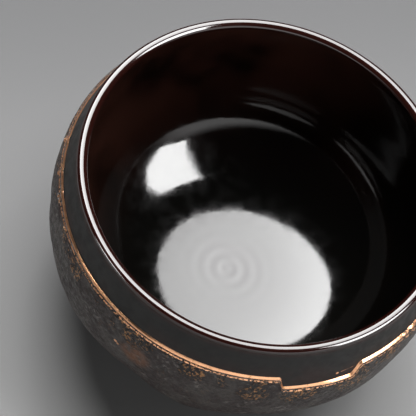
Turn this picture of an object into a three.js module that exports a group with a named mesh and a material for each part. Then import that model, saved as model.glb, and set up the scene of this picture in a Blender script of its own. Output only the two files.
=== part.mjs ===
// Tea bowl: one piece of glazed stoneware.
// Millimetres, +Z up, the origin at the centre of the foot's underside.
// The wall is a closed profile carried round the axis. Its ledge height and its shell change with the
// angle, so the surface is a grid of rings, from the foot's recess out, up, over the lip and down inside.
import * as THREE from "three";

// Whole bowl
const HEIGHT = 68.5;
const ANGLE_STEPS = 86;

// Foot ring and the recess inside it
const FOOT_INNER_RADIUS = 19.4;
const FOOT_OUTER_RADIUS = 23.6;
const FOOT_EDGE = 0.5;
const FOOT_FLARE = 1.3;
const FOOT_HEIGHT = 3.9;
const FOOT_FILLET = 1.6;
const RECESS_CEILING = 4.6;
const RECESS_FILLET = 1.8;

// Shell: widest at the belly, drawn in below it towards the foot
const BELLY_RADIUS = 60;
const BELLY_DROP = 20.5;
const SHELL_SEMI_HEIGHT = 49.6;
const SHELL_POWER = 2.5;
const SHELL_TURN_END = THREE.MathUtils.degToRad(53.2);
const SHELL_TURN_RINGS = 9;
const SHELL_TOP_DROP = 12.6;
const SHELL_TOP_RADIUS = 58.7;
const SHELL_TOP_RINGS = 3;
const UNDERSIDE_RADIUS = 30.5;
const UNDERSIDE_HEIGHT = 5.6;

// How strongly the lumps act: all of them on the open shell, less where it meets the foot and the bead
const OPEN_SHELL = 1;
const NEAR_EDGE = 0.7;
const AT_EDGE = 0.3;

// Lumps of the shell: amplitude, waves round the bowl, turn per millimetre up the shell, phase
const LUMPS = [
  [0.12, 5, 0.11, 1.3],
  [0.1, 8, -0.16, 0.4],
  [0.09, 13, 0.21, 2.1],
  [0.07, 19, -0.27, 4.4],
];

// Broad swells and hollows of the shell: angle, height, how far they reach, and how far out they stand
const SWELLS = [
  { angle: -167, height: 46, reach: 12, out: 0.3 },
  { angle: -135, height: 28, reach: 9, out: 0.5 },
  { angle: -108, height: 29, reach: 9, out: -1 },
  { angle: -87, height: 27, reach: 9, out: 0.8 },
  { angle: -40, height: 32, reach: 10, out: 0.4 },
];

// Ledge where the shell ends, with the gilded bead along it and the notch cut down into it
const LEDGE_DROP = 10.8;
const LEDGE_RADIUS = 57.8;
const NOTCH_DEPTH = 3.9;
const NOTCH_START = { angle: -65.1, width: 1.8 };
const NOTCH_END = { angle: -42.8, width: 3.4 };
const JOG_STEPS = 3;
const BEAD_OUT = 1.05;
const BEAD_TALL = 1.7;
const BEAD_NOSE_DROP = 1.2;
const BEAD_RINGS = 5;

// Smooth band between the ledge and the lip
const BAND_SLOPE = 0.28;
const BAND_TOP_DROP = 2;
const BAND_RINGS = 3;

// Lip
const LIP_RADIUS = 54;
const LIP_HALF_WIDTH = 1.35;
const LIP_ROUND = 1.3;
const LIP_POWER = 2.3;
const LIP_RINGS = 9;

// Inside
const INSIDE_RADIUS = 54.4;
const INSIDE_WIDEST_DROP = 22;
const INSIDE_DEPTH = 58.3;
const INSIDE_POWER = 2.7;
const INSIDE_THROAT = 1.42;
const INSIDE_THROAT_DROP = 2.2;
const INSIDE_UPPER_RINGS = 3;
const INSIDE_TURN_RINGS = 11;

// Share of the way through a jog of the ledge, from 0 before it to 1 after it
function jog(angle, { angle: centre, width }) {
  return THREE.MathUtils.smoothstep(angle, centre - width / 2, centre + width / 2);
}

// How far the ledge lies below the top of the lip, at an angle in degrees from -180 to 180
function ledgeDrop(angle) {
  return LEDGE_DROP + NOTCH_DEPTH * (jog(angle, NOTCH_START) - jog(angle, NOTCH_END));
}

function bandRadius(drop) {
  return LEDGE_RADIUS + BAND_SLOPE * (drop - LEDGE_DROP);
}

// Radius of the shell above the belly
function shellTopRadius(drop) {
  const rise = (BELLY_DROP - drop) / (BELLY_DROP - SHELL_TOP_DROP);
  return BELLY_RADIUS - (BELLY_RADIUS - SHELL_TOP_RADIUS) * rise * rise;
}

// How far the shell stands out of its smooth profile at an angle in degrees
function lumpOut(angle, radius, height) {
  const theta = THREE.MathUtils.degToRad(angle);
  let total = 0;
  for (const [amplitude, waves, turn, phase] of LUMPS) {
    total += amplitude * Math.sin(waves * theta + turn * (radius + height) + phase);
  }
  for (const swell of SWELLS) {
    const away = THREE.MathUtils.euclideanModulo(angle - swell.angle + 180, 360) - 180;
    const distance = Math.hypot(BELLY_RADIUS * THREE.MathUtils.degToRad(away), height - swell.height);
    total += swell.out * Math.exp(-((distance / swell.reach) ** 2));
  }
  return total;
}

// Angles of the profile's stations: even steps, and closer ones across the two jogs of the ledge
function stationAngles() {
  const step = 360 / ANGLE_STEPS;
  const close = [];
  for (const { angle, width } of [NOTCH_START, NOTCH_END]) {
    for (let i = -1; i <= JOG_STEPS + 1; i++) close.push(angle - width / 2 + (width * i) / JOG_STEPS);
  }
  const even = Array.from({ length: ANGLE_STEPS }, (_, i) => -180 + i * step);
  const clear = even.filter((angle) => close.every((other) => Math.abs(other - angle) > step / 4));
  return [...clear, ...close].sort((a, b) => a - b);
}

// Each stretch of the profile is a list of points: radius, height, and how strongly the lumps act
function footProfile() {
  const corner = RECESS_CEILING - RECESS_FILLET;
  return [
    [FOOT_INNER_RADIUS / 2, RECESS_CEILING, 0],
    [FOOT_INNER_RADIUS - FOOT_EDGE - RECESS_FILLET, RECESS_CEILING - FOOT_EDGE / 2, 0],
    [FOOT_INNER_RADIUS - FOOT_EDGE, corner, 0],
    [FOOT_INNER_RADIUS - FOOT_EDGE, FOOT_EDGE, 0],
    [FOOT_INNER_RADIUS, 0, 0],
    [FOOT_OUTER_RADIUS, 0, 0],
    [FOOT_OUTER_RADIUS + FOOT_EDGE, FOOT_EDGE, 0],
    [FOOT_OUTER_RADIUS + FOOT_FLARE, FOOT_HEIGHT, 0],
    [FOOT_OUTER_RADIUS + FOOT_FLARE + FOOT_FILLET, FOOT_HEIGHT + FOOT_FILLET / 2, AT_EDGE],
    [UNDERSIDE_RADIUS, UNDERSIDE_HEIGHT, NEAR_EDGE],
  ];
}

function shellProfile(angle) {
  const points = [];
  for (let i = 0; i < SHELL_TURN_RINGS; i++) {
    const turn = SHELL_TURN_END * (1 - i / (SHELL_TURN_RINGS - 1));
    const below = SHELL_SEMI_HEIGHT * Math.sin(turn) ** (2 / SHELL_POWER);
    points.push([BELLY_RADIUS * Math.cos(turn), HEIGHT - BELLY_DROP - below, OPEN_SHELL]);
  }
  const end = ledgeDrop(angle) + BEAD_TALL;
  for (let i = 1; i <= SHELL_TOP_RINGS; i++) {
    const drop = THREE.MathUtils.lerp(BELLY_DROP, end, i / SHELL_TOP_RINGS);
    points.push([shellTopRadius(drop), HEIGHT - drop, i < SHELL_TOP_RINGS ? OPEN_SHELL : AT_EDGE]);
  }
  return points;
}

// The bead is a half round that runs from the shell's top edge in and up to the band
function beadProfile(angle) {
  const drop = ledgeDrop(angle);
  const points = [];
  for (let i = 1; i <= BEAD_RINGS; i++) {
    const turn = (Math.PI * i) / (2 * BEAD_RINGS);
    const out = BEAD_OUT * Math.cos(turn);
    points.push([bandRadius(drop) + out, HEIGHT - drop - BEAD_NOSE_DROP * (1 - Math.sin(turn)), 0]);
  }
  return points;
}

function bandProfile(angle) {
  const start = ledgeDrop(angle);
  const points = [];
  for (let i = 1; i <= BAND_RINGS; i++) {
    const drop = THREE.MathUtils.lerp(start, BAND_TOP_DROP, i / BAND_RINGS);
    points.push([bandRadius(drop), HEIGHT - drop, 0]);
  }
  return points;
}

function lipProfile() {
  const points = [];
  for (let i = 0; i < LIP_RINGS; i++) {
    const turn = (Math.PI * i) / (LIP_RINGS - 1);
    const side = Math.cos(turn);
    const across = Math.sign(side) * Math.abs(side) ** (2 / LIP_POWER);
    const up = Math.sin(turn) ** (2 / LIP_POWER);
    points.push([LIP_RADIUS + LIP_HALF_WIDTH * across, HEIGHT - LIP_ROUND * (1 - up), 0]);
  }
  return points;
}

function insideProfile() {
  const points = [];
  for (let i = 0; i < INSIDE_UPPER_RINGS; i++) {
    const rise = 1 - i / INSIDE_UPPER_RINGS;
    const drop = THREE.MathUtils.lerp(INSIDE_WIDEST_DROP, INSIDE_THROAT_DROP, rise);
    points.push([INSIDE_RADIUS - INSIDE_THROAT * rise * rise, HEIGHT - drop, 0]);
  }
  for (let i = 0; i < INSIDE_TURN_RINGS; i++) {
    const turn = (Math.PI * i) / (2 * INSIDE_TURN_RINGS);
    const radius = INSIDE_RADIUS * Math.cos(turn) ** (2 / INSIDE_POWER);
    const fall = (INSIDE_DEPTH - INSIDE_WIDEST_DROP) * Math.sin(turn) ** (2 / INSIDE_POWER);
    points.push([radius, HEIGHT - INSIDE_WIDEST_DROP - fall, 0]);
  }
  return points;
}

// One station's points, with the shell's lumps pushed out square to the profile
function station(angle) {
  const theta = THREE.MathUtils.degToRad(angle);
  const profile = [
    ...footProfile(),
    ...shellProfile(angle),
    ...beadProfile(angle),
    ...bandProfile(angle),
    ...lipProfile(),
    ...insideProfile(),
  ];
  return profile.map(([radius, height, strength], i) => {
    if (strength === 0) return new THREE.Vector3(radius * Math.cos(theta), radius * Math.sin(theta), height);
    const before = profile[i - 1];
    const after = profile[i + 1];
    const along = new THREE.Vector2(after[0] - before[0], after[1] - before[1]).normalize();
    const lump = strength * lumpOut(angle, radius, height);
    const lumped = radius + along.y * lump;
    return new THREE.Vector3(lumped * Math.cos(theta), lumped * Math.sin(theta), height - along.x * lump);
  });
}

// Closed grid: rings joined by two triangles a cell, with a fan to the axis at each end of the profile
function bowlGeometry() {
  const stations = stationAngles().map(station);
  const rings = stations[0].length;
  const positions = stations.flat().flatMap((point) => point.toArray());
  const underCentre = positions.length / 3;
  positions.push(0, 0, RECESS_CEILING);
  const insideCentre = positions.length / 3;
  positions.push(0, 0, HEIGHT - INSIDE_DEPTH);

  const index = [];
  stations.forEach((_, i) => {
    const here = i * rings;
    const next = ((i + 1) % stations.length) * rings;
    index.push(underCentre, next, here);
    for (let j = 0; j < rings - 1; j++) {
      index.push(here + j, next + j, next + j + 1);
      index.push(here + j, next + j + 1, here + j + 1);
    }
    index.push(insideCentre, here + rings - 1, next + rings - 1);
  });

  const geometry = new THREE.BufferGeometry();
  geometry.setAttribute("position", new THREE.Float32BufferAttribute(positions, 3));
  geometry.setIndex(index);
  geometry.computeVertexNormals();
  return geometry;
}

const glaze = new THREE.MeshStandardMaterial({ color: 0x1c1412, roughness: 0.35, metalness: 0 });
const bowl = new THREE.Mesh(bowlGeometry(), glaze);
bowl.name = "bowl";

const teaBowl = new THREE.Group();
teaBowl.add(bowl);

export default teaBowl;
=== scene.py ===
import math

import bpy
import numpy as np
from mathutils import Matrix, Quaternion, Vector, noise


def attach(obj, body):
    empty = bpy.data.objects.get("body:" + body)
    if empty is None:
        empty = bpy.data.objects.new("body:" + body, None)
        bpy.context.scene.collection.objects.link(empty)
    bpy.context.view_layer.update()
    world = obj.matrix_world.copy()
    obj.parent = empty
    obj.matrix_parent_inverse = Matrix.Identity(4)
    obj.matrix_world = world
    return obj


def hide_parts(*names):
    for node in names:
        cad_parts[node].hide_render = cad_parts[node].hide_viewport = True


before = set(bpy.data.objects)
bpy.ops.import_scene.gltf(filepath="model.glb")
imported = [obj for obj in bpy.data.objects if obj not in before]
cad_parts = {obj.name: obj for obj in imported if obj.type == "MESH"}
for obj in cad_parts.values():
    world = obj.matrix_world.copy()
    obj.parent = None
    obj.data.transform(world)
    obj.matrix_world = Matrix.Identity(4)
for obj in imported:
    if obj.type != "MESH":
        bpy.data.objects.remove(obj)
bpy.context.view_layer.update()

MM = 0.001

# Whole bowl
HEIGHT = 68.5
AROUND = 352

# Foot ring and the recess inside it
INNERMOST_RADIUS = 1.0
FOOT_INNER = 19.4
FOOT_OUTER = 23.6
FOOT_EDGE = 0.5
FOOT_FLARE = 1.3
FOOT_HEIGHT = 3.9
FOOT_FILLET = 1.6
RECESS_CEILING = 4.6
RECESS_FILLET = 1.8
FOOT_STEP = 1.3

# Shell
BELLY_RADIUS = 60
BELLY_DROP = 20.5
SHELL_SEMI_HEIGHT = 49.6
SHELL_POWER = 2.5
SHELL_TURN_END = math.radians(53.2)
SHELL_TURN_ROWS = 62
SHELL_TOP_DROP = 12.6
SHELL_TOP_RADIUS = 59.1
SHELL_TOP_ROWS = 15
SHELL_TOP_BELOW_LEDGE = 1.7
UNDERSIDE_RADIUS = 30.5
UNDERSIDE_HEIGHT = 5.6

# How much of the shell's relief shows on the foot's fillet and on the underside, and how much of it is
# lost at the shell's top, as shares
FILLET_RELIEF = 0.2
UNDERSIDE_RELIEF = 0.7
TOP_RELIEF_LOST = 0.7

# Lumps of the shell: amplitude, waves round the bowl, turn per mm up the shell, phase
LUMPS = (
    (0.12, 5, 0.11, 1.3),
    (0.1, 8, -0.16, 0.4),
    (0.09, 13, 0.21, 2.1),
    (0.07, 19, -0.27, 4.4),
)

# Broad swells and hollows of the shell: angle, height, reach and how far out
SWELLS = (
    (-167, 46, 12, 0.3),
    (-135, 28, 9, 0.5),
    (-108, 29, 9, -1),
    (-87, 27, 9, 0.8),
    (-40, 32, 10, 0.4),
)

# Fine relief of the shell: the grain's height, how many of its waves go in a mm and the settings of its
# fractal noise, then the same for the chips of crust, which stand in patches more common near the ledge
GRAIN_HEIGHT = 0.1
GRAIN_FINENESS = 0.22
GRAIN_FRACTAL = (0.9, 2.1, 4)
CHIP_HEIGHT = 0.32
CHIP_FINENESS = 0.42
CHIP_FRACTAL = (1.0, 2.2, 3, 1.0, 2.0)
CHIP_MIDDLE = 1.1
PATCH_FINENESS = 0.075
PATCH_ORIGIN = (3.7, 1.9, 5.2)
PATCH_LEAST = 0.12
PATCH_GAIN = 1.6
PATCH_NEAR_LEDGE = 0.45
PATCH_REACH = 7

# Ledge and its notch. Each jog of the notch has a middle and a width
LEDGE_DROP = 10.8
LEDGE_RADIUS = 57.8
NOTCH_DEPTH = 3.9
NOTCH_START = (-65.1, 1.8)
NOTCH_END = (-42.8, 3.4)
JOG_STATIONS = 9

# Section of the bead, from the crust at the shell's top over the ragged outer ridge, a groove and the
# main ridge in to the band: how far out of the band and how far below the ledge, then the same two
# where it is flatter and wider
BEAD_STEP = 0.08
BEAD_SECTION = (
    (1.5, 1.7, 1.5, 1.6),
    (1.42, 1.5, 1.46, 1.4),
    (1.28, 1.32, 1.4, 1.2),
    (1.12, 1.16, 1.33, 1.02),
    (1.0, 1.0, 1.24, 0.86),
    (0.9, 0.86, 1.16, 0.72),
    (0.8, 0.8, 1.08, 0.64),
    (0.68, 0.76, 1.0, 0.6),
    (0.58, 0.68, 0.92, 0.5),
    (0.52, 0.56, 0.82, 0.4),
    (0.42, 0.42, 0.66, 0.31),
    (0.3, 0.28, 0.48, 0.22),
    (0.18, 0.15, 0.3, 0.13),
    (0.08, 0.05, 0.13, 0.05),
    (0, 0, 0, 0),
)

# Where the crust, the ragged ridge and the groove begin, out of the band, and the angles between which
# the bead turns flatter and narrow again
BEAD_CRUST_OUT = 1.13
BEAD_RAGGED_OUT = 0.86
BEAD_GROOVE_OUT = 0.56
BEAD_FLATTER = (-57, -49, 20, 50)

# Blobs of gilding on the bead: angles, then how far out they stand and half their width as an angle
BEAD_BLOBS = (-173.5, -162.5, -155, -126, -24.5, -21.5)
BLOB_OUT = 0.32
BLOB_REACH = 0.8

# Level shelf along the top of the bead's main ridge on one side: where it ends out of the band, how
# level it is, its middle and spread, and its unevenness: the mean, the swing, and a pattern round the bowl
SHELF_END = (0.4, 0.56)
SHELF_SHARE = 0.95
SHELF_PLACE = (-122, 16)
SHELF_MEAN = 1.05
SHELF_SWING = 1.3
SHELF_PATTERN = (0.7, 9)

# Unevenness of the bead's parts: depth and pitch, and the settings of its fractal noise
BEAD_GRAIN = {"bead": (0.03, 1.8), "groove": (0.05, 1.5), "edge": (0.1, 1.1)}
BEAD_FRACTAL = (0.9, 2.0, 3)

# Band and lip. Each half of the lip has a width, a drop and a power of its curve
BAND_SLOPE = 0.28
BAND_TOP_DROP = 1.15
BAND_ROWS = 14
LIP_RADIUS = 54
LIP_OUTER = (1.3, 1.0, 2.4)
LIP_INNER = (1.85, 1.5, 2.0)
LIP_OUTER_ROWS = 30
LIP_INNER_ROWS = 16

# Rolled edge of the glaze just outside the lip: how far out it lies, its width and height, where it is
# thickest with the spread of that place, and how thick its uneven rest is, with a pattern round the bowl
ROLL_OUT = 1.1
ROLL_WIDTH = 0.09
ROLL_HEIGHT = 0.17
ROLL_THICK = (-126, 15)
ROLL_REST = 0.5
ROLL_PATTERN = (0.3, 4)

# Inside
INSIDE_RADIUS = 54.4
INSIDE_WIDEST_DROP = 22
INSIDE_DEPTH = 58.3
INSIDE_POWER = 2.7
INSIDE_THROAT = 2.24
INSIDE_THROAT_DROP = 2.2
INSIDE_SAMPLES = 400
BOTTOM_STEP = 0.8
WALL_ROWS = 30

# Throwing rings over the bottom: half their height and how much that grows at the middle, their pitch,
# how far they are off centre, and the radii between which they start and fade
RING_DEPTH = 0.015
RING_LEAST = 0.8
RING_GROWTH = 3
RING_REACH = 8
RING_PITCH = 4.2
RING_SWAY = 0.6
RING_START = (0, 2)
RING_FADE = (7, 22)

# Finer waves between the rings: how many to a ring, lobes round the bowl, phase, and their divisor
WAVER_RATIO = 2.3
WAVER_LOBES = 2
WAVER_PHASE = 1.0
WAVER_DIVISOR = 3

# Camera: fitted to the rim and the ledge
CAMERA_PLACE = (-0.0127, -0.2789, 0.5051)
CAMERA_ELEVATION = math.radians(59.06)
CAMERA_ROLL = math.radians(-22.06)
CAMERA_LENS = 155.8
CAMERA_NEAREST = 0.01


# Shape


def smoothstep(low, high, value):
    share = np.clip((value - low) / (high - low), 0, 1)
    return share * share * (3 - 2 * share)


def station_angles():
    """Even angles round the bowl, and closer ones across the two jogs of the ledge."""
    even = np.linspace(-180, 180, AROUND, endpoint=False)
    jogs = (NOTCH_START, NOTCH_END)
    close = [np.linspace(centre - width, centre + width, JOG_STATIONS) for centre, width in jogs]
    return np.unique(np.round(np.concatenate([even, *close]), 3))


ANGLE = station_angles()
THETA = np.radians(ANGLE)


def near_angle(place, power=2):
    """1 at an angle round the bowl, and falling off over its spread, at each station."""
    centre, spread = place
    return np.exp(-(((ANGLE - centre) / spread) ** power))


def noise_round(pattern):
    """Smooth noise round the bowl at each station, from a pattern's level and fineness."""
    level, fineness = pattern
    return np.array([noise.noise(Vector((math.cos(t), math.sin(t), level)) * fineness) for t in THETA])


def row_points(radius, height):
    """The points of one row, in mm."""
    return [Vector((r * math.cos(t), r * math.sin(t), h)) for r, h, t in zip(radius, height, THETA)]


def past_jog(place):
    """0 before a jog of the ledge and 1 after it, at each station."""
    centre, width = place
    return smoothstep(centre - width / 2, centre + width / 2, ANGLE)


def ledge_drop():
    """How far the ledge lies below the top of the lip, at each station."""
    return LEDGE_DROP + NOTCH_DEPTH * (past_jog(NOTCH_START) - past_jog(NOTCH_END))


def band_radius(drop):
    return LEDGE_RADIUS + BAND_SLOPE * (drop - LEDGE_DROP)


def shell_top_radius(drop):
    rise = (BELLY_DROP - drop) / (BELLY_DROP - SHELL_TOP_DROP)
    return BELLY_RADIUS - (BELLY_RADIUS - SHELL_TOP_RADIUS) * rise * rise


def shell_turn_height(turn):
    return HEIGHT - BELLY_DROP - SHELL_SEMI_HEIGHT * math.sin(turn) ** (2 / SHELL_POWER)


def evenly(points, step):
    """A polyline's corners, with more points between them about a step apart."""
    filled = [points[0]]
    for start, end in zip(points, points[1:]):
        count = max(1, round(math.dist(start[:2], end[:2]) / step))
        filled += [tuple(a + (b - a) * i / count for a, b in zip(start, end)) for i in range(1, count + 1)]
    return filled


class Profile:
    """Rows of the wall's profile, from the foot's recess out, up, over the lip and down inside."""

    def __init__(self):
        self.radius, self.height, self.zone, self.relief = [], [], [], []

    def row(self, zone, radius, height, relief=0.0):
        self.radius.append(radius + 0 * ANGLE)
        self.height.append(height + 0 * ANGLE)
        self.zone.append(zone)
        self.relief.append(relief)


def foot_rows(profile):
    corner = FOOT_INNER - FOOT_EDGE
    flare = FOOT_OUTER + FOOT_FLARE
    points = [
        (INNERMOST_RADIUS, RECESS_CEILING),
        (FOOT_INNER / 2, RECESS_CEILING),
        (corner - RECESS_FILLET, RECESS_CEILING - FOOT_EDGE / 2),
        (corner - FOOT_EDGE, RECESS_CEILING - RECESS_FILLET + FOOT_EDGE),
        (corner, RECESS_CEILING - RECESS_FILLET),
        (corner, FOOT_EDGE),
        (FOOT_INNER, 0),
        (FOOT_OUTER, 0),
        (FOOT_OUTER + FOOT_EDGE, FOOT_EDGE),
        (flare, FOOT_HEIGHT),
    ]
    for radius, height in evenly(points, FOOT_STEP):
        profile.row("foot", radius, height)
    profile.row("foot", flare + FOOT_FILLET / 3, FOOT_HEIGHT + FOOT_FILLET / 3, FILLET_RELIEF)
    fillet = (flare + FOOT_FILLET, FOOT_HEIGHT + FOOT_FILLET / 2)
    underside = (UNDERSIDE_RADIUS, UNDERSIDE_HEIGHT)
    turn_end = (BELLY_RADIUS * math.cos(SHELL_TURN_END), shell_turn_height(SHELL_TURN_END))
    for radius, height in evenly([fillet, underside, turn_end], FOOT_STEP)[:-1]:
        profile.row("shell", radius, height, UNDERSIDE_RELIEF)


def shell_rows(profile):
    for i in range(SHELL_TURN_ROWS):
        turn = SHELL_TURN_END * (1 - i / (SHELL_TURN_ROWS - 1))
        profile.row("shell", BELLY_RADIUS * math.cos(turn), shell_turn_height(turn), 1)
    end = ledge_drop() + SHELL_TOP_BELOW_LEDGE
    for i in range(1, SHELL_TOP_ROWS + 1):
        share = i / SHELL_TOP_ROWS
        drop = BELLY_DROP + (end - BELLY_DROP) * share
        profile.row("shell", shell_top_radius(drop), HEIGHT - drop, 1 - TOP_RELIEF_LOST * share**4)


def shelf_share():
    """How level the top of the bead's main ridge is, at each station: only on one side, and unevenly."""
    uneven = np.clip(SHELF_MEAN + SHELF_SWING * noise_round(SHELF_PATTERN), 0, 1)
    return SHELF_SHARE * near_angle(SHELF_PLACE, 4) * uneven


def bead_rows(profile):
    drop = ledge_drop()
    begin, full, last, end = BEAD_FLATTER
    flatter = smoothstep(begin, full, ANGLE) * (1 - smoothstep(last, end, ANGLE))
    level = shelf_share()
    for out, below, flat_out, flat_below in evenly(BEAD_SECTION, BEAD_STEP):
        bare = out > BEAD_CRUST_OUT or BEAD_GROOVE_OUT < out < BEAD_RAGGED_OUT
        zone = "groove" if bare else "edge" if out > BEAD_RAGGED_OUT else "bead"
        radius = band_radius(drop) + out + (flat_out - out) * flatter
        fall = (below + (flat_below - below) * flatter) * (1 - level * (1 - smoothstep(*SHELF_END, out)))
        profile.row(zone, radius, HEIGHT - drop - fall)


def band_rows(profile):
    start = ledge_drop()
    for i in range(1, BAND_ROWS + 1):
        drop = start + (BAND_TOP_DROP - start) * i / BAND_ROWS
        profile.row("band", band_radius(drop), HEIGHT - drop)


def lip_row(profile, half, side, turn):
    width, fall, power = half
    across = side * width * max(0.0, math.cos(turn)) ** (2 / power)
    drop = fall * (1 - math.sin(turn) ** (2 / power))
    profile.row("glaze", LIP_RADIUS + across, HEIGHT - drop)


def lip_rows(profile):
    quarter = math.pi / 2
    for i in range(LIP_OUTER_ROWS):
        lip_row(profile, LIP_OUTER, 1, quarter * i / LIP_OUTER_ROWS)
    for i in range(LIP_INNER_ROWS):
        lip_row(profile, LIP_INNER, -1, quarter - quarter * i / LIP_INNER_ROWS)


def inside_rows(profile):
    """The inside, in close rows over the ringed bottom and wider ones up the plain wall."""
    points = []
    for turn in np.linspace(math.pi / 2, 0, INSIDE_SAMPLES):
        fall = (INSIDE_DEPTH - INSIDE_WIDEST_DROP) * math.sin(turn) ** (2 / INSIDE_POWER)
        radius = INSIDE_RADIUS * max(0.0, math.cos(turn)) ** (2 / INSIDE_POWER)
        points.append((radius, HEIGHT - INSIDE_WIDEST_DROP - fall))
    for rise in np.linspace(0, 1, INSIDE_SAMPLES)[1:]:
        drop = INSIDE_WIDEST_DROP + (INSIDE_THROAT_DROP - INSIDE_WIDEST_DROP) * rise
        points.append((INSIDE_RADIUS - INSIDE_THROAT * rise * rise, HEIGHT - drop))
    radii, heights = np.array(points).T
    path = np.concatenate([[0], np.hypot(np.diff(radii), np.diff(heights)).cumsum()])
    bottom_stops = np.arange(INNERMOST_RADIUS, RING_FADE[1], BOTTOM_STEP)
    wall_stops = np.linspace(RING_FADE[1] + 1, path[-1], WALL_ROWS)
    for stop in np.concatenate([bottom_stops, wall_stops])[::-1]:
        profile.row("glaze", np.interp(stop, path, radii), np.interp(stop, path, heights))


def broad_lumps(radius, height):
    """The shell's lumps and swells, the same as the solid's, in mm."""
    total = np.zeros_like(radius)
    for amplitude, waves, turn, phase in LUMPS:
        total += amplitude * np.sin(waves * THETA + turn * (radius + height) + phase)
    for angle, centre, reach, out in SWELLS:
        away = (ANGLE - angle + 180) % 360 - 180
        distance = np.hypot(BELLY_RADIUS * np.radians(away), height - centre)
        total += out * np.exp(-((distance / reach) ** 2))
    return total


def crust(place, drop_below_ledge):
    """The shell's fine relief at a place in mm: a grain all over, and patches of crust with pits in them."""
    grain = GRAIN_HEIGHT * noise.fractal(place * GRAIN_FINENESS, *GRAIN_FRACTAL)
    patch = noise.noise(place * PATCH_FINENESS + Vector(PATCH_ORIGIN))
    near_ledge = PATCH_NEAR_LEDGE * math.exp(-((drop_below_ledge / PATCH_REACH) ** 2))
    strength = min(1.0, max(0.0, PATCH_GAIN * (patch + near_ledge - PATCH_LEAST)))
    chips = noise.ridged_multi_fractal(place * CHIP_FINENESS, *CHIP_FRACTAL) - CHIP_MIDDLE
    return grain + CHIP_HEIGHT * strength * max(-1.0, min(1.0, chips))


def throwing_rings(path, radius):
    """Soft rings that the potter's fingers left round the middle of the bottom, in mm."""
    rings = np.sin(2 * math.pi * path / RING_PITCH + RING_SWAY * np.sin(THETA))
    fine_pitch = RING_PITCH / WAVER_RATIO
    waver = np.sin(2 * math.pi * path / fine_pitch + WAVER_LOBES * THETA + WAVER_PHASE) / WAVER_DIVISOR
    near_middle = RING_LEAST + RING_GROWTH * np.exp(-((radius / RING_REACH) ** 2))
    shown = smoothstep(*RING_START, radius) * (1 - smoothstep(*RING_FADE, radius))
    return RING_DEPTH * near_middle * (rings + waver) * shown


def rolled_edge(radius):
    """The glaze's rolled edge, thick on one side of the lip and thin and uneven elsewhere, in mm."""
    thickness = near_angle(ROLL_THICK) + ROLL_REST * np.maximum(0, noise_round(ROLL_PATTERN))
    across = (radius - LIP_RADIUS - ROLL_OUT) / ROLL_WIDTH
    return ROLL_HEIGHT * thickness * np.exp(-(across**2))


def profile_grid():
    profile = Profile()
    for rows in (foot_rows, shell_rows, bead_rows, band_rows, lip_rows, inside_rows):
        rows(profile)
    return profile, np.array(profile.radius), np.array(profile.height)


def relief(profile, radius, height):
    """How far each point stands out of the plain profile, in mm, by row and station."""
    out = np.zeros_like(radius)
    ledge = HEIGHT - ledge_drop()
    blobs = sum(BLOB_OUT * near_angle((angle, BLOB_REACH)) for angle in BEAD_BLOBS)
    along_r = np.diff(radius, axis=0, prepend=radius[:1])
    along_z = np.diff(height, axis=0, prepend=height[:1])
    path_from_middle = np.hypot(along_r, along_z)[::-1].cumsum(axis=0)[::-1]
    for j, zone in enumerate(profile.zone):
        places = row_points(radius[j], height[j])
        if zone == "shell":
            fine = [crust(place, top - place.z) for place, top in zip(places, ledge)]
            out[j] = profile.relief[j] * (broad_lumps(radius[j], height[j]) + np.array(fine))
        elif zone in BEAD_GRAIN:
            depth, pitch = BEAD_GRAIN[zone]
            out[j] = [depth * noise.fractal(place / pitch, *BEAD_FRACTAL) for place in places]
            out[j] += blobs
        elif zone == "glaze":
            out[j] = throwing_rings(path_from_middle[j], radius[j]) + rolled_edge(radius[j])
    return out


def bowl_points():
    profile, radius, height = profile_grid()
    out = relief(profile, radius, height)
    along_r = np.gradient(radius, axis=0)
    along_z = np.gradient(height, axis=0)
    length = np.hypot(along_r, along_z)
    radius = radius + out * along_z / length
    height = height - out * along_r / length
    points = np.stack([radius * np.cos(THETA), radius * np.sin(THETA), height], axis=-1)
    return profile.zone, points * MM


def bowl_mesh(materials):
    """One closed grid of rows and stations, with a fan to the axis at each end of the profile."""
    zones, points = bowl_points()
    rows, columns = points.shape[:2]
    under = (0, 0, RECESS_CEILING * MM)
    inside = (0, 0, (HEIGHT - INSIDE_DEPTH) * MM)
    vertices = np.concatenate([points.reshape(-1, 3), [under, inside]])
    corner = np.arange(rows * columns).reshape(rows, columns)
    beside = np.roll(corner, -1, axis=1)
    quads = np.stack([corner[:-1], beside[:-1], beside[1:], corner[1:]], axis=-1).reshape(-1, 4)
    fans = [(rows * columns, b, a) for a, b in zip(corner[0], beside[0])]
    fans += [(rows * columns + 1, a, b) for a, b in zip(corner[-1], beside[-1])]

    mesh = bpy.data.meshes.new("bowl_surface")
    mesh.from_pydata(vertices.tolist(), [], quads.tolist() + [list(map(int, fan)) for fan in fans])
    names = list(materials)
    for name in names:
        mesh.materials.append(materials[name])
    by_row = np.array([names.index(zone) for zone in zones[1:]])
    by_fan = [names.index("foot")] * columns + [names.index("glaze")] * columns
    slots = np.concatenate([np.repeat(by_row, columns), by_fan])
    mesh.polygons.foreach_set("material_index", slots.astype(np.int32))
    mesh.polygons.foreach_set("use_smooth", np.ones(len(slots), dtype=bool))
    mesh.update()
    return mesh


# Materials
# Patterns below are a size in mm, a detail and a roughness, and then the two values of the noise between
# which they go from none to all. Bumps are a size in mm, a detail, a roughness and a depth in mm.
# Spreads are two places in metres between which a share goes from none to all.


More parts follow.
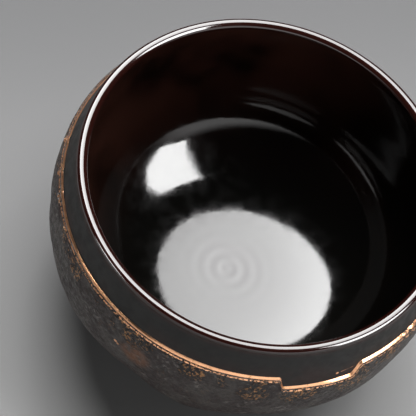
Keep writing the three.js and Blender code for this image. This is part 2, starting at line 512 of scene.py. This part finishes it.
class Shader:
    """A material's node tree, with short ways to add the nodes used here."""

    def __init__(self, name):
        self.material = bpy.data.materials.new(name)
        self.material.use_nodes = True
        self.tree = self.material.node_tree
        self.surface = self.tree.nodes["Principled BSDF"]
        self.place = self.add("ShaderNodeTexCoord").outputs["Object"]

    def add(self, kind, inputs=None, **settings):
        node = self.tree.nodes.new(kind)
        for key, value in settings.items():
            setattr(node, key, value)
        for key, value in (inputs or {}).items():
            self.feed(node.inputs[key], value)
        return node

    def feed(self, socket, value):
        if isinstance(value, bpy.types.NodeSocket):
            self.tree.links.new(value, socket)
        else:
            socket.default_value = value

    def set(self, **inputs):
        for key, value in inputs.items():
            self.feed(self.surface.inputs[key.replace("_", " ")], value)

    def math(self, operation, first, second=0.0, clamp=False):
        node = self.add("ShaderNodeMath", {0: first, 1: second}, operation=operation, use_clamp=clamp)
        return node.outputs[0]

    def vector(self, operation, first, second):
        return self.add("ShaderNodeVectorMath", {0: first, 1: second}, operation=operation).outputs

    def product(self, *shares):
        total = shares[0]
        for share in shares[1:]:
            total = self.math("MULTIPLY", total, share)
        return total

    def most(self, *shares):
        """The largest of several shares."""
        total = shares[0]
        for share in shares[1:]:
            total = self.math("MAXIMUM", total, share)
        return total

    def rest(self, share):
        """What a share leaves of the whole."""
        return self.math("SUBTRACT", 1.0, share, clamp=True)

    def noise(self, size_mm, detail, rough, warp=0.0):
        inputs = {"Vector": self.place, "Scale": 1 / (size_mm * MM), "Detail": detail}
        inputs.update({"Roughness": rough, "Distortion": warp})
        return self.add("ShaderNodeTexNoise", inputs).outputs["Fac"]

    def ramp(self, value, low, high, to_low=0.0, to_high=1.0):
        node = self.add("ShaderNodeMapRange", {0: value, 1: low, 2: high, 3: to_low, 4: to_high})
        node.interpolation_type = "SMOOTHSTEP"
        return node.outputs[0]

    def pattern(self, form, to_low=0.0, to_high=1.0, warp=0.0):
        size_mm, detail, rough, low, high = form
        return self.ramp(self.noise(size_mm, detail, rough, warp), low, high, to_low, to_high)

    def blend(self, share, first, second):
        node = self.add("ShaderNodeMix", data_type="RGBA")
        colours = [socket for socket in node.inputs if socket.type == "RGBA"]
        self.feed(node.inputs[0], share)
        for socket, value in zip(colours, (first, second)):
            self.feed(socket, value)
        return next(socket for socket in node.outputs if socket.type == "RGBA")

    def axes(self):
        return self.add("ShaderNodeSeparateXYZ", {0: self.place}).outputs

    def by_drop(self, first, last, to_first=0.0, to_last=1.0):
        """A share that changes between two drops in mm."""
        return self.ramp(self.axes()[2], (HEIGHT - first) * MM, (HEIGHT - last) * MM, to_first, to_last)

    def dot(self, direction):
        """How far a point lies along a direction, in metres."""
        return self.vector("DOT_PRODUCT", self.place, direction)["Value"]

    def spot(self, centre_mm, size_mm, edge):
        """1 near a point and 0 a size away from it, with a soft edge that is a share of the size."""
        centre = tuple(v * MM for v in centre_mm)
        away = self.vector("DISTANCE", self.place, centre)["Value"]
        return self.ramp(away, size_mm * MM, size_mm * (1 - edge) * MM)

    def spots(self, places, edge):
        """A spot at each place on the shell."""
        return [self.spot(on_shell(angle, drop), size_mm, edge) for angle, drop, size_mm in places]

    def streak(self, start_mm, end_mm, size_mm):
        """1 on a straight line between two points and 0 a size away from it."""
        start = Vector(start_mm) * MM
        along = Vector(end_mm) * MM - start
        offset = self.vector("SUBTRACT", self.place, start)[0]
        share = self.vector("DOT_PRODUCT", offset, along / along.length_squared)["Value"]
        share = self.math("ADD", share, 0.0, clamp=True)
        foot = self.add("ShaderNodeVectorMath", {0: along, "Scale": share}, operation="SCALE").outputs[0]
        away = self.vector("DISTANCE", offset, foot)["Value"]
        return self.ramp(away, size_mm * MM, 0.0)

    def bump(self, height, depth_mm, under=None):
        inputs = {"Height": height, "Distance": depth_mm * MM, "Strength": 1.0}
        if under is not None:
            inputs["Normal"] = under
        return self.add("ShaderNodeBump", inputs).outputs["Normal"]

    def bumps(self, *layers):
        under = None
        for size_mm, detail, rough, depth_mm in layers:
            under = self.bump(self.noise(size_mm, detail, rough), depth_mm, under)
        return under


def on_wall(radius, angle, drop):
    turn = math.radians(angle)
    return (radius * math.cos(turn), radius * math.sin(turn), HEIGHT - drop)


def on_band(angle, drop):
    """A point of the band's surface in mm."""
    return on_wall(band_radius(drop), angle, drop)


def on_shell(angle, drop):
    """A point of the shell's surface in mm."""
    if drop < BELLY_DROP:
        return on_wall(shell_top_radius(drop), angle, drop)
    fall = (drop - BELLY_DROP) / SHELL_SEMI_HEIGHT
    return on_wall(BELLY_RADIUS * math.sqrt(1 - fall**SHELL_POWER), angle, drop)


# Glaze: black inside with a reddish side, and dark red on the lip
BLACK_GLAZE = (0.0012, 0.0011, 0.0009, 1)
RED_GLAZE = (0.036, 0.013, 0.009, 1)
LIP_RED = (0.011, 0.0024, 0.0017, 1)
RED_SIDE = (-0.8, 0.6, 0)
RED_SIDE_SPREAD = (-0.015, 0.045)
RED_HEIGHT_SPREAD = (0.012, 0.04)
RED_PATCHES = (26, 2, 0.55, 0.25, 0.6)
LIP_DROPS = (2.6, 0.6)
GLAZE_SHEEN = (4, 3, 0.55, 0.3, 0.7)
GLAZE_ROUGHNESS = (0.06, 0.11)
GLAZE_DIMPLES = ((9, 2, 0.55, 0.035), (2.4, 2, 0.55, 0.008), (0.9, 3, 0.55, 0.0035))
GLAZE_IOR = 1.55
LIP_COAT = 0.4
COAT_ROUGHNESS = 0.05

# The lip's outer edge is rougher, except on one side: how far out of the lip it starts in mm, and the
# direction and spread over which it sets in
LIP_EDGE_OUT = (0.85, 1.05)
LIP_EDGE_SIDE = (0.73, 0.68, 0)
LIP_EDGE_SPREAD = (-0.055, -0.048)
LIP_EDGE_ROUGHNESS = 0.5


def glaze_material():
    shader = Shader("glaze")
    side = shader.ramp(shader.dot(RED_SIDE), *RED_SIDE_SPREAD)
    height = shader.ramp(shader.axes()[2], *RED_HEIGHT_SPREAD)
    reddish = shader.product(side, height, shader.pattern(RED_PATCHES))
    lip = shader.by_drop(*LIP_DROPS)
    colour = shader.blend(lip, shader.blend(reddish, BLACK_GLAZE, RED_GLAZE), LIP_RED)
    level = shader.vector("MULTIPLY", shader.place, (1, 1, 0))[0]
    radius = shader.add("ShaderNodeVectorMath", {0: level}, operation="LENGTH").outputs["Value"]
    edge = shader.ramp(radius, *((LIP_RADIUS + out) * MM for out in LIP_EDGE_OUT))
    edge = shader.product(edge, shader.ramp(shader.dot(LIP_EDGE_SIDE), *LIP_EDGE_SPREAD))
    sheen = shader.pattern(GLAZE_SHEEN, *GLAZE_ROUGHNESS)
    rough = shader.most(sheen, shader.product(edge, LIP_EDGE_ROUGHNESS))
    shader.set(Base_Color=colour, Roughness=rough, Normal=shader.bumps(*GLAZE_DIMPLES), IOR=GLAZE_IOR)
    shader.set(Coat_Weight=shader.product(lip, LIP_COAT), Coat_Roughness=COAT_ROUGHNESS)
    return shader.material


GOLD = (0.95, 0.5, 0.28, 1)
DULL_GOLD = (0.55, 0.27, 0.12, 1)

# Band: satin grey, browner in low blotches and just below the lip
BAND_GREY = (0.0085, 0.0084, 0.0079, 1)
BAND_BROWN = (0.022, 0.0096, 0.008, 1)
BAND_BLOTCHES = (11, 4, 0.6, 0.42, 0.66)
BAND_BLOTCH_DROPS = (5, 12)
BAND_TOP_DROPS = (3.2, 1.8)
BAND_SHEEN = (3, 3, 0.55, 0.3, 0.7)
BAND_ROUGHNESS = (0.46, 0.6)
BAND_BUMPS = ((0.7, 3, 0.55, 0.02), (6, 2, 0.55, 0.05))
BAND_SPECULAR = 0.36

# Gilded hairline in the notch, from its thin end to the bright dot, and the brown tint round them:
# each an angle and a drop, then the sizes in mm, the share of soft edge and the patterns
HAIRLINE_END = (-41.1, 11.75)
DOT_PLACE = (-48.8, 12.6)
HAIRLINE_SIZE = 0.22
HAIRLINE_GAPS = (1.3, 2, 0.55, 0.35, 0.55)
DOT_SIZE = 0.55
DOT_EDGE = 0.5
HAIRLINE_DEPTH = 0.2
TINT_PLACE = (-57, 13)
TINT_SIZE = 11
TINT_EDGE = 0.9
TINT_PATCHES = (5, 3, 0.55, 0.3, 0.6)


def band_material():
    shader = Shader("band")
    blotches = shader.product(shader.pattern(BAND_BLOTCHES), shader.by_drop(*BAND_BLOTCH_DROPS))
    tint = shader.spot(on_band(*TINT_PLACE), TINT_SIZE, TINT_EDGE)
    tint = shader.product(tint, shader.pattern(TINT_PATCHES))
    brown = shader.most(blotches, shader.by_drop(*BAND_TOP_DROPS), tint)
    dot = on_band(*DOT_PLACE)
    hairline = shader.streak(on_band(*HAIRLINE_END), dot, HAIRLINE_SIZE)
    hairline = shader.product(hairline, shader.pattern(HAIRLINE_GAPS))
    gild = shader.most(hairline, shader.spot(dot, DOT_SIZE, DOT_EDGE))
    colour = shader.blend(gild, shader.blend(brown, BAND_GREY, BAND_BROWN), GOLD)
    rough = shader.pattern(BAND_SHEEN, *BAND_ROUGHNESS)
    relief_normal = shader.bump(gild, HAIRLINE_DEPTH, shader.bumps(*BAND_BUMPS))
    shader.set(Base_Color=colour, Metallic=gild, Roughness=rough, Normal=relief_normal)
    shader.set(Specular_IOR_Level=BAND_SPECULAR)
    return shader.material


# Gilding: worn in places, rougher and less even on one side, and with bare patches at the far right
GILT_WEAR = (1.8, 4, 0.6, 0.55, 0.7)
GILT_SHEEN = (1.1, 3, 0.55, 0.3, 0.7)
GILT_ROUGHNESS = (0.26, 0.38)
GILT_BARE = (1.5, 4, 0.6, 0.49, 0.55)
GILT_BARE_SPREAD_X = (0.0, 0.02)
GILT_BARE_SPREAD_Y = (-0.03, -0.022)
GILT_BARE_DEPTH = 0.15
GILT_UNEVEN_SPREAD = (-0.012, -0.036)
GILT_UNEVENNESS = (0.03, 1.0)
GILT_UNEVEN_ROUGHNESS = 0.08
GILT_DENTS = (0.7, 3, 0.55)
GILT_DENT_DEPTH = 0.2


def gilt_material():
    """The smooth gilded ridge of the bead."""
    shader = Shader("gilt")
    x, y, _ = shader.axes()
    right = shader.product(shader.ramp(x, *GILT_BARE_SPREAD_X), shader.ramp(y, *GILT_BARE_SPREAD_Y))
    bare = shader.product(right, shader.pattern(GILT_BARE))
    colour = shader.blend(bare, shader.blend(shader.pattern(GILT_WEAR), GOLD, DULL_GOLD), SHELL_DARK)
    uneven = shader.ramp(x, *GILT_UNEVEN_SPREAD, *GILT_UNEVENNESS)
    rough = shader.pattern(GILT_SHEEN, *GILT_ROUGHNESS)
    rough = shader.math("ADD", rough, shader.product(uneven, GILT_UNEVEN_ROUGHNESS))
    dents = shader.bump(shader.product(shader.noise(*GILT_DENTS), uneven), GILT_DENT_DEPTH)
    relief_normal = shader.bump(bare, GILT_BARE_DEPTH, dents)
    shader.set(Base_Color=colour, Metallic=shader.rest(bare), Roughness=rough, Normal=relief_normal)
    return shader.material


RAGGED_BARE = (0.9, 4, 0.6, 0.46, 0.56)
RAGGED_SHEEN = (0.7, 3, 0.55, 0.3, 0.7)
RAGGED_ROUGHNESS = (0.2, 0.5)
RAGGED_BUMP = (0.6, 4, 0.55, 0.12)


def ragged_gilt_material():
    """The thin outer ridge of the bead, where the gilding breaks up over the dark shell."""
    shader = Shader("ragged_gilt")
    bare = shader.pattern(RAGGED_BARE)
    colour = shader.blend(bare, GOLD, SHELL_DARK)
    rough = shader.pattern(RAGGED_SHEEN, *RAGGED_ROUGHNESS)
    normal = shader.bumps(RAGGED_BUMP)
    shader.set(Base_Color=colour, Metallic=shader.rest(bare), Roughness=rough, Normal=normal)
    return shader.material


# Shell: blotches of grey and brown, with pale scales on them whose paleness is painted sheen: the satin
# highlights the scales catch, put into the colour
SHELL_GREY = (0.048, 0.0405, 0.0365, 1)
SHELL_PURPLE = (0.021, 0.0125, 0.0117, 1)
SHELL_DARK = (0.006, 0.0055, 0.0055, 1)
SHELL_SCALE_PAINTED_SHEEN = (0.15, 0.135, 0.125, 1)
COPPER = (0.42, 0.22, 0.1, 1)
RUST = (0.13, 0.053, 0.024, 1)
SHELL_BLOTCHES = (9, 4, 0.6, 0.42, 0.6)
SHELL_BLOTCH_WARP = 0.6
SCALY_SHEEN_AREAS = (7, 3, 0.55, 0.5, 0.66)
SCALE_SHEEN_PATTERN = (1.4, 5, 0.65, 0.5, 0.6)
SCALE_SHEEN_SHARE = 0.9
SHELL_SHEEN = (1.5, 4, 0.55, 0.3, 0.7)
SHELL_ROUGHNESS = (0.4, 0.72)
SHELL_BUMP = (2.2, 5, 0.65, 0.4)

# Clusters of pits and copper flecks, more of them near the ledge. Both follow one fine noise, at its low
# and its high end. Shares of pits, copper and relief outside and inside a cluster come last
CLUSTERS = (5.5, 3, 0.55, 0.5, 0.6)
CLUSTER_DROPS = (20, 13, 0.2, 0.6)
CRUST_RAGGED = (2.6, 4, 0.6, 0.38, 0.52)
CRUST_EDGE = 0.7
FINE_NOISE = (0.95, 4, 0.62)
PIT_RANGE = (0.51, 0.43)
COPPER_RANGE = (0.53, 0.58)
COPPER_METAL = 0.6
PITS_BY_CLUSTER = (0.0, 0.6, 0.15, 1.0)
COPPER_BY_CLUSTER = (0.1, 0.8, 0.02, 1.0)
RELIEF_BY_CLUSTER = (0.0, 0.8, 0.14, 1.0)
CLUSTER_DEPTH = 1.1

# Places on the shell: an angle and a drop, then a size in mm
CRUSTS = (
    (-133, 14.5, 5),
    (-108, 15, 6),
    (-90, 14.5, 6),
    (-72, 18, 6),
    (-59, 18.5, 8),
    (-42, 19, 9),
    (-30, 15, 6),
)
RUST_PLACE = (-106, 22.4)
RUST_SIZE = 6.5
RUST_EDGE = 0.6
RUST_PATCHES = (2, 4, 0.55, 0.3, 0.55)
FLECKS = (
    (-173.5, 12.1, 0.9),
    (-162.5, 12.2, 0.9),
    (-155, 12.2, 0.6),
    (-112.5, 23.1, 0.7),
    (-111.6, 23.6, 0.6),
    (-24.5, 12.2, 0.9),
    (-21.5, 12.2, 0.8),
)
FLECK_EDGE = 0.35
FLECK_DEPTH = 0.35
FLECK_SMOOTHER = 0.3


def crusty_clusters(shader):
    """Where the shell is pitted and flecked: in scattered clusters, and at the crusts' places."""
    scattered = shader.product(shader.by_drop(*CLUSTER_DROPS), shader.pattern(CLUSTERS))
    ragged = shader.pattern(CRUST_RAGGED)
    patches = (shader.product(spot, ragged) for spot in shader.spots(CRUSTS, CRUST_EDGE))
    return shader.most(scattered, *patches)


def shell_material():
    """The matt shell: blotches of grey and brown, and crusty clusters of pits and copper flecks."""
    shader = Shader("shell")
    blotches = shader.pattern(SHELL_BLOTCHES, warp=SHELL_BLOTCH_WARP)
    # Pale scales: painted sheen, the satin highlights that the shell's scales catch, put into the colour
    painted_scale_sheen = shader.product(shader.pattern(SCALY_SHEEN_AREAS), shader.pattern(SCALE_SHEEN_PATTERN), SCALE_SHEEN_SHARE)
    clusters = crusty_clusters(shader)
    fine = shader.noise(*FINE_NOISE)
    pits = shader.product(shader.ramp(fine, *PIT_RANGE), shader.ramp(clusters, *PITS_BY_CLUSTER))
    copper = shader.product(shader.ramp(fine, *COPPER_RANGE), shader.ramp(clusters, *COPPER_BY_CLUSTER))
    rust = shader.spot(on_shell(*RUST_PLACE), RUST_SIZE, RUST_EDGE)
    rust = shader.product(rust, shader.pattern(RUST_PATCHES))
    gild = shader.most(*shader.spots(FLECKS, FLECK_EDGE))

    colour = shader.blend(blotches, SHELL_GREY, SHELL_PURPLE)
    layers = ((painted_scale_sheen, SHELL_SCALE_PAINTED_SHEEN), (pits, SHELL_DARK), (copper, COPPER), (rust, RUST), (gild, GOLD))
    for share, layer in layers:
        colour = shader.blend(share, colour, layer)
    rough = shader.pattern(SHELL_SHEEN, *SHELL_ROUGHNESS)
    rough = shader.math("SUBTRACT", rough, shader.product(gild, FLECK_SMOOTHER), clamp=True)
    crusty = shader.product(fine, shader.ramp(clusters, *RELIEF_BY_CLUSTER))
    relief_normal = shader.bump(crusty, CLUSTER_DEPTH, shader.bumps(SHELL_BUMP))
    relief_normal = shader.bump(gild, FLECK_DEPTH, relief_normal)
    metal = shader.most(gild, shader.product(copper, COPPER_METAL))
    shader.set(Base_Color=colour, Metallic=metal, Roughness=rough, Normal=relief_normal)
    return shader.material


# Bare clay of the foot
CLAY = (0.05, 0.036, 0.029, 1)
DARK_CLAY = (0.022, 0.016, 0.013, 1)
CLAY_BLOTCHES = (3, 5, 0.6, 0.35, 0.65)
CLAY_SHEEN = (1.2, 2, 0.55, 0.3, 0.7)
CLAY_ROUGHNESS = (0.75, 0.92)
CLAY_BUMP = (0.6, 4, 0.6, 0.15)


def clay_material():
    shader = Shader("clay")
    colour = shader.blend(shader.pattern(CLAY_BLOTCHES), CLAY, DARK_CLAY)
    rough = shader.pattern(CLAY_SHEEN, *CLAY_ROUGHNESS)
    shader.set(Base_Color=colour, Roughness=rough, Normal=shader.bumps(CLAY_BUMP))
    return shader.material


# Floor: plain paper with painted shade: its colour is lighter in front and darker further back, where the
# light falls off
FLOOR_NEAR_PAINTED_LIGHT = (0.24, 0.24, 0.239, 1)
FLOOR_FAR_PAINTED_SHADE = (0.083, 0.083, 0.085, 1)
FLOOR_PAINTED_SHADE_DIRECTION = (-0.4, 0.92, 0)
FLOOR_PAINTED_SHADE_FADE = (-0.09, 0.135)
FLOOR_TOOTH = (1.5, 3, 0.55, 0.01)
FLOOR_ROUGHNESS = 0.85


def floor_material():
    shader = Shader("paper_painted_shade")
    # Painted shade: the colour runs from lighter in front to darker further back, standing in for the
    # fall-off of light across the floor
    colour = shader.blend(shader.ramp(shader.dot(FLOOR_PAINTED_SHADE_DIRECTION), *FLOOR_PAINTED_SHADE_FADE), FLOOR_NEAR_PAINTED_LIGHT, FLOOR_FAR_PAINTED_SHADE)
    shader.set(Base_Color=colour, Roughness=FLOOR_ROUGHNESS, Normal=shader.bumps(FLOOR_TOOTH))
    return shader.material


def make_bowl():
    shell = shell_material()
    materials = {
        "foot": clay_material(),
        "shell": shell,
        "edge": ragged_gilt_material(),
        "groove": shell,
        "bead": gilt_material(),
        "band": band_material(),
        "glaze": glaze_material(),
    }
    bowl = bpy.data.objects.new("bowl_surface", bowl_mesh(materials))
    bpy.context.scene.collection.objects.link(bowl)
    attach(bowl, "root")
    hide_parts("bowl")


# Stage: metres from here on

FLOOR_SIZE = 6.0
LIGHT_TARGET = Vector((0, 0, 0.03))

# Shades over the softboxes' faces, which run from 0 to 1 both ways: a direction, where the shade starts
# and ends, and its share of the light at each end. The side softbox has two of its corners flagged off
OVERHEAD_SHADES = (((1, 0, 0), (0, 1), (0.72, 1.3)),)
SIDE_SHADES = (
    ((1, 1.17, 0), (0.28, 0.44), (0, 1)),
    ((-1, 1.1, 0), (-0.8, -0.66), (0, 1)),
)

# Softboxes: name, shape, size, place, how bright the face is, its turn and its shades
SIDE_TURN = math.radians(45)
SOFTBOXES = (
    ("overhead_softbox", "DISK", (0.6, 0.6), (-0.11, 0.46, 0.7), 12.7, 0, OVERHEAD_SHADES),
    ("side_softbox", "RECTANGLE", (0.48, 0.275), (0.464, 0.041, 0.65), 19, SIDE_TURN, SIDE_SHADES),
)

# Fills that light the floor and the matt shell: name, place and how bright the face is
FILL_SIZE = (0.6, 0.6)
FILLS = (
    ("fill_left", (-0.4, 0.4, 1.05), 19.5),
    ("fill_back", (0, 0.55, 1.0), 12),
    ("fill_right", (0.4, 0.4, 1.05), 12.5),
)

# Pale wall low down in front of the bowl, in a dark studio: its edges, as shades over the directions
WALL_SHADES = (
    ((0, 1, 0), (0.0, -0.45), (0, 1)),
    ((-0.3, 0, 1), (0.52, 0.34), (0, 1)),
    ((1, 0, 0), (-0.85, -0.35), (0, 1)),
)
WALL_GLOW = 1.35
STUDIO_GLOW = 0.012


def make_floor():
    half = FLOOR_SIZE / 2
    mesh = bpy.data.meshes.new("floor")
    corners = [(-half, -half, 0), (half, -half, 0), (half, half, 0), (-half, half, 0)]
    mesh.from_pydata(corners, [], [(0, 1, 2, 3)])
    mesh.materials.append(floor_material())
    floor = bpy.data.objects.new("floor", mesh)
    bpy.context.scene.collection.objects.link(floor)


def make_light(name, shape, size, place, radiance, turn=0.0, softbox=False):
    """A soft area light that faces the bowl. Its power follows from how bright its face is.

    A softbox is seen in the gloss alone, and any other light falls on matt surfaces alone.
    """
    light = bpy.data.lights.new(name, "AREA")
    light.shape = shape
    light.size, light.size_y = size
    area = math.pi * size[0] ** 2 / 4 if shape == "DISK" else size[0] * size[1]
    light.energy = radiance * math.pi * area
    lamp = bpy.data.objects.new(name, light)
    lamp.location = place
    lamp.visible_glossy = softbox
    lamp.visible_diffuse = not softbox
    facing = (Vector(place) - LIGHT_TARGET).to_track_quat("Z", "Y")
    lamp.rotation_euler = (facing @ Quaternion((0, 0, 1), turn)).to_euler()
    bpy.context.scene.collection.objects.link(lamp)
    return light


def shaded(tree, place, shades):
    """The product of several shades over a place or a direction."""
    so_far = None
    for direction, ends, shares in shades:
        along = tree.nodes.new("ShaderNodeVectorMath")
        along.operation = "DOT_PRODUCT"
        along.inputs[1].default_value = direction
        tree.links.new(place, along.inputs[0])
        share = tree.nodes.new("ShaderNodeMapRange")
        share.interpolation_type = "SMOOTHSTEP"
        for socket, value in zip(share.inputs[1:5], (*ends, *shares)):
            socket.default_value = value
        tree.links.new(along.outputs["Value"], share.inputs[0])
        product = tree.nodes.new("ShaderNodeMath")
        product.operation = "MULTIPLY"
        product.inputs[1].default_value = 1.0
        tree.links.new(share.outputs[0], product.inputs[0])
        if so_far:
            tree.links.new(so_far, product.inputs[1])
        so_far = product.outputs[0]
    return so_far


def shade_face(light, shades):
    """Vary a softbox over its face."""
    light.use_nodes = True
    tree = light.node_tree
    face = tree.nodes.new("ShaderNodeNewGeometry").outputs["Parametric"]
    tree.links.new(shaded(tree, face, shades), tree.nodes["Emission"].inputs["Strength"])


def make_lights():
    for name, shape, size, place, radiance, turn, shades in SOFTBOXES:
        shade_face(make_light(name, shape, size, place, radiance, turn, softbox=True), shades)
    for name, place, radiance in FILLS:
        make_light(name, "DISK", FILL_SIZE, place, radiance)


def make_world():
    world = bpy.data.worlds.new("studio")
    world.use_nodes = True
    tree = world.node_tree
    direction = tree.nodes.new("ShaderNodeTexCoord").outputs["Generated"]
    glow = tree.nodes.new("ShaderNodeMath")
    glow.operation = "MULTIPLY_ADD"
    glow.inputs[1].default_value = WALL_GLOW
    glow.inputs[2].default_value = STUDIO_GLOW
    tree.links.new(shaded(tree, direction, WALL_SHADES), glow.inputs[0])
    tree.links.new(glow.outputs[0], tree.nodes["Background"].inputs["Strength"])
    tree.nodes["Background"].inputs["Color"].default_value = (1, 1, 1, 1)
    bpy.context.scene.world = world


def make_camera():
    level_up = Vector((0, math.sin(CAMERA_ELEVATION), math.cos(CAMERA_ELEVATION)))
    back = Vector((0, -math.cos(CAMERA_ELEVATION), math.sin(CAMERA_ELEVATION)))
    level_right = Vector((1, 0, 0))
    right = math.cos(CAMERA_ROLL) * level_right - math.sin(CAMERA_ROLL) * level_up
    up = math.sin(CAMERA_ROLL) * level_right + math.cos(CAMERA_ROLL) * level_up
    camera = bpy.data.objects.new("camera", bpy.data.cameras.new("camera"))
    turned = Matrix((right, up, back)).transposed().to_4x4()
    camera.matrix_world = Matrix.Translation(CAMERA_PLACE) @ turned
    camera.data.lens = CAMERA_LENS
    camera.data.clip_start = CAMERA_NEAREST
    bpy.context.scene.collection.objects.link(camera)
    bpy.context.scene.camera = camera


make_bowl()
make_floor()
make_lights()
make_world()
make_camera()
bpy.context.scene.view_settings.view_transform = "Standard"
